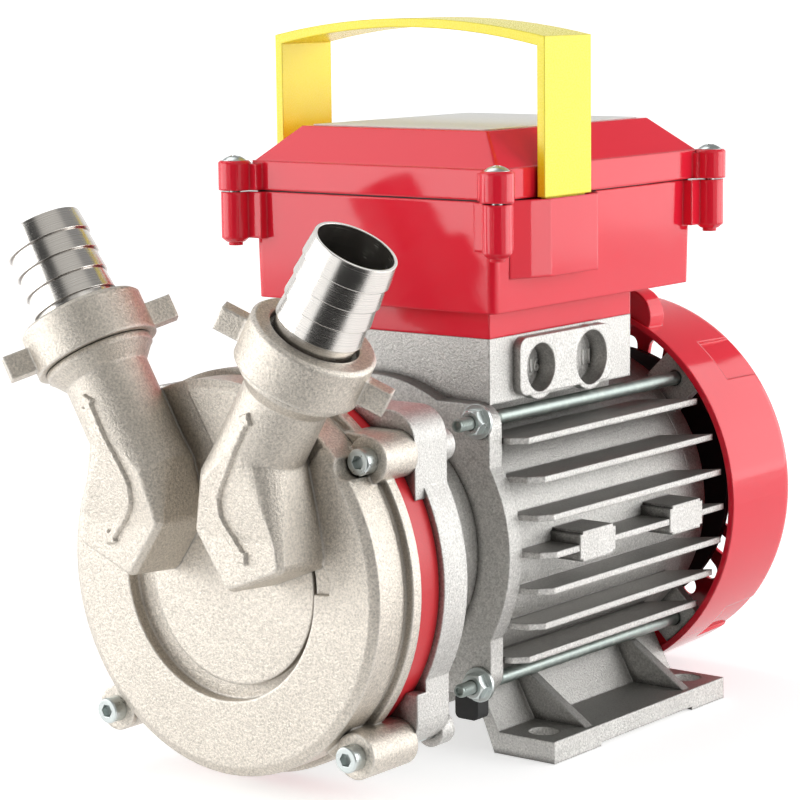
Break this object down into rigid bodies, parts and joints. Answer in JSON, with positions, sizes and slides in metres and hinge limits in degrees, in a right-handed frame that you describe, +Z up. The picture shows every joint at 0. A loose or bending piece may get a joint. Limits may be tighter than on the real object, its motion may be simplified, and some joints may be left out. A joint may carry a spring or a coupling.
{
  "type": "electric transfer pump",
  "caption": "Self-priming side-channel transfer pump with two angled hose ports, on a finned foot motor with a terminal box and a carrying handle.",
  "frame": {"origin": "centre of the four foot holes, on the mounting face under the motor foot", "axes": "+Z up, -Y towards the pump head along the shaft, +X to the side with the cable entries"},
  "size_m": [0.1544, 0.2785, 0.2468],
  "materials": {
    "cast_aluminium": "cast and blasted",
    "zinc_steel": "bright zinc plated",
    "shaft_steel": "ground",
    "copper_wire": "varnished copper",
    "nickel_brass": "bead-blasted nickel plate",
    "nickel_bright": "turned nickel plate",
    "bare_brass": "machined",
    "red_paint": "semi-matt",
    "red_plastic": "gloss",
    "yellow_plastic": "satin",
    "white_plastic": "satin",
    "black_plastic": "matt",
    "black_rubber": "matt",
    "ceramic": "lapped"
  },
  "bodies": {
    "frame": {"motor_housing": "cast_aluminium", "rear_shield": "cast_aluminium", "tie_rods": "zinc_steel", "tie_nuts": "zinc_steel", "fan_cover": "red_plastic", "stator": "shaft_steel", "windings": "copper_wire", "front_bearing_outer": "shaft_steel", "rear_bearing_outer": "shaft_steel", "adapter": "cast_aluminium", "intermediate_ring": "red_paint", "pump_cover": "nickel_brass", "cover_screws": "zinc_steel", "seal_seat": "ceramic", "left_hose_tail": "nickel_bright", "right_hose_tail": "nickel_bright", "left_port_gasket": "black_rubber", "right_port_gasket": "black_rubber", "terminal_box": "red_plastic", "lid_gasket": "black_rubber", "terminal_lid": "red_plastic", "lid_screws": "zinc_steel", "capacitor": "white_plastic", "terminal_block": "black_plastic", "handle": "yellow_plastic", "label_plate": "white_plastic", "rubber_buffer": "black_rubber"},
    "shaft_line": {"shaft": "shaft_steel", "rotor": "shaft_steel", "cooling_fan": "black_plastic", "front_bearing_inner": "shaft_steel", "rear_bearing_inner": "shaft_steel", "impeller": "bare_brass", "seal_rotary": "black_rubber"},
    "left_nut": {"left_union_nut": "nickel_brass"},
    "right_nut": {"right_union_nut": "nickel_brass"}
  },
  "joints": [
    {"name": "shaft_spin", "type": "hinge", "parent": "frame", "child": "shaft_line", "pos_m": [0, 0, 0.071], "axis": [0, 1, 0], "continuous": true},
    {"name": "left_nut_turn", "type": "hinge", "parent": "frame", "child": "left_nut", "pos_m": [-0.0493, -0.1549, 0.1542], "axis": [-0.512, 0, 0.859], "range_deg": [0, 360]},
    {"name": "right_nut_turn", "type": "hinge", "parent": "frame", "child": "right_nut", "pos_m": [0.0493, -0.1549, 0.1542], "axis": [0.512, 0, 0.859], "range_deg": [0, 360]}
  ]
}
